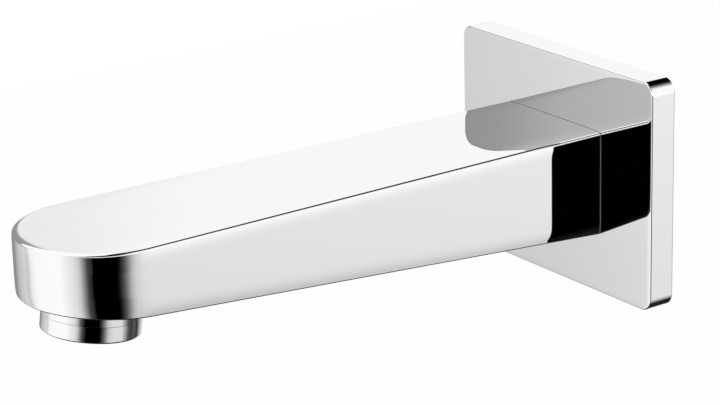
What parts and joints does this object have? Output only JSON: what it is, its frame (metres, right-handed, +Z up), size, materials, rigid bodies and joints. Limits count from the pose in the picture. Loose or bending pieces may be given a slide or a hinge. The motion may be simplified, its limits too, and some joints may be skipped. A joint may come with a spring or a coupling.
{
  "type": "bath spout",
  "caption": "Wall-mounted chromed bath spout: flat body with a half-round nose, rectangular wall plate, threaded wall nipple and an aerator under the nose.",
  "frame": {"origin": "centre of the water inlet on the face of the finished wall", "axes": "+Z up, +Y into the wall along the inlet, the spout reaches out along -Y, +X to the right when facing the wall"},
  "size_m": [0.082, 0.19, 0.0644],
  "materials": {
    "bright_chrome": "polished",
    "turned_brass": "turned",
    "stainless_steel": "bright",
    "sealing_rubber": "matt",
    "foam_rubber": "closed-cell foam",
    "acetal_plastic": "moulded"
  },
  "bodies": {
    "root": {"spout_body": "bright_chrome", "wall_plate": "bright_chrome", "aerator_housing": "bright_chrome", "wall_nipple": "turned_brass", "plate_gasket": "foam_rubber", "face_washer": "sealing_rubber", "nipple_seal_1": "sealing_rubber", "nipple_seal_2": "sealing_rubber", "aerator_washer": "sealing_rubber", "grub_screw": "stainless_steel", "plate_screw_1": "stainless_steel", "plate_screw_2": "stainless_steel", "plate_screw_3": "stainless_steel", "plate_screw_4": "stainless_steel", "upper_screen": "stainless_steel", "lower_screen": "stainless_steel", "inlet_strainer": "acetal_plastic", "jet_disc": "acetal_plastic", "mixing_chamber": "acetal_plastic", "outlet_grid": "acetal_plastic"}
  },
  "joints": []
}
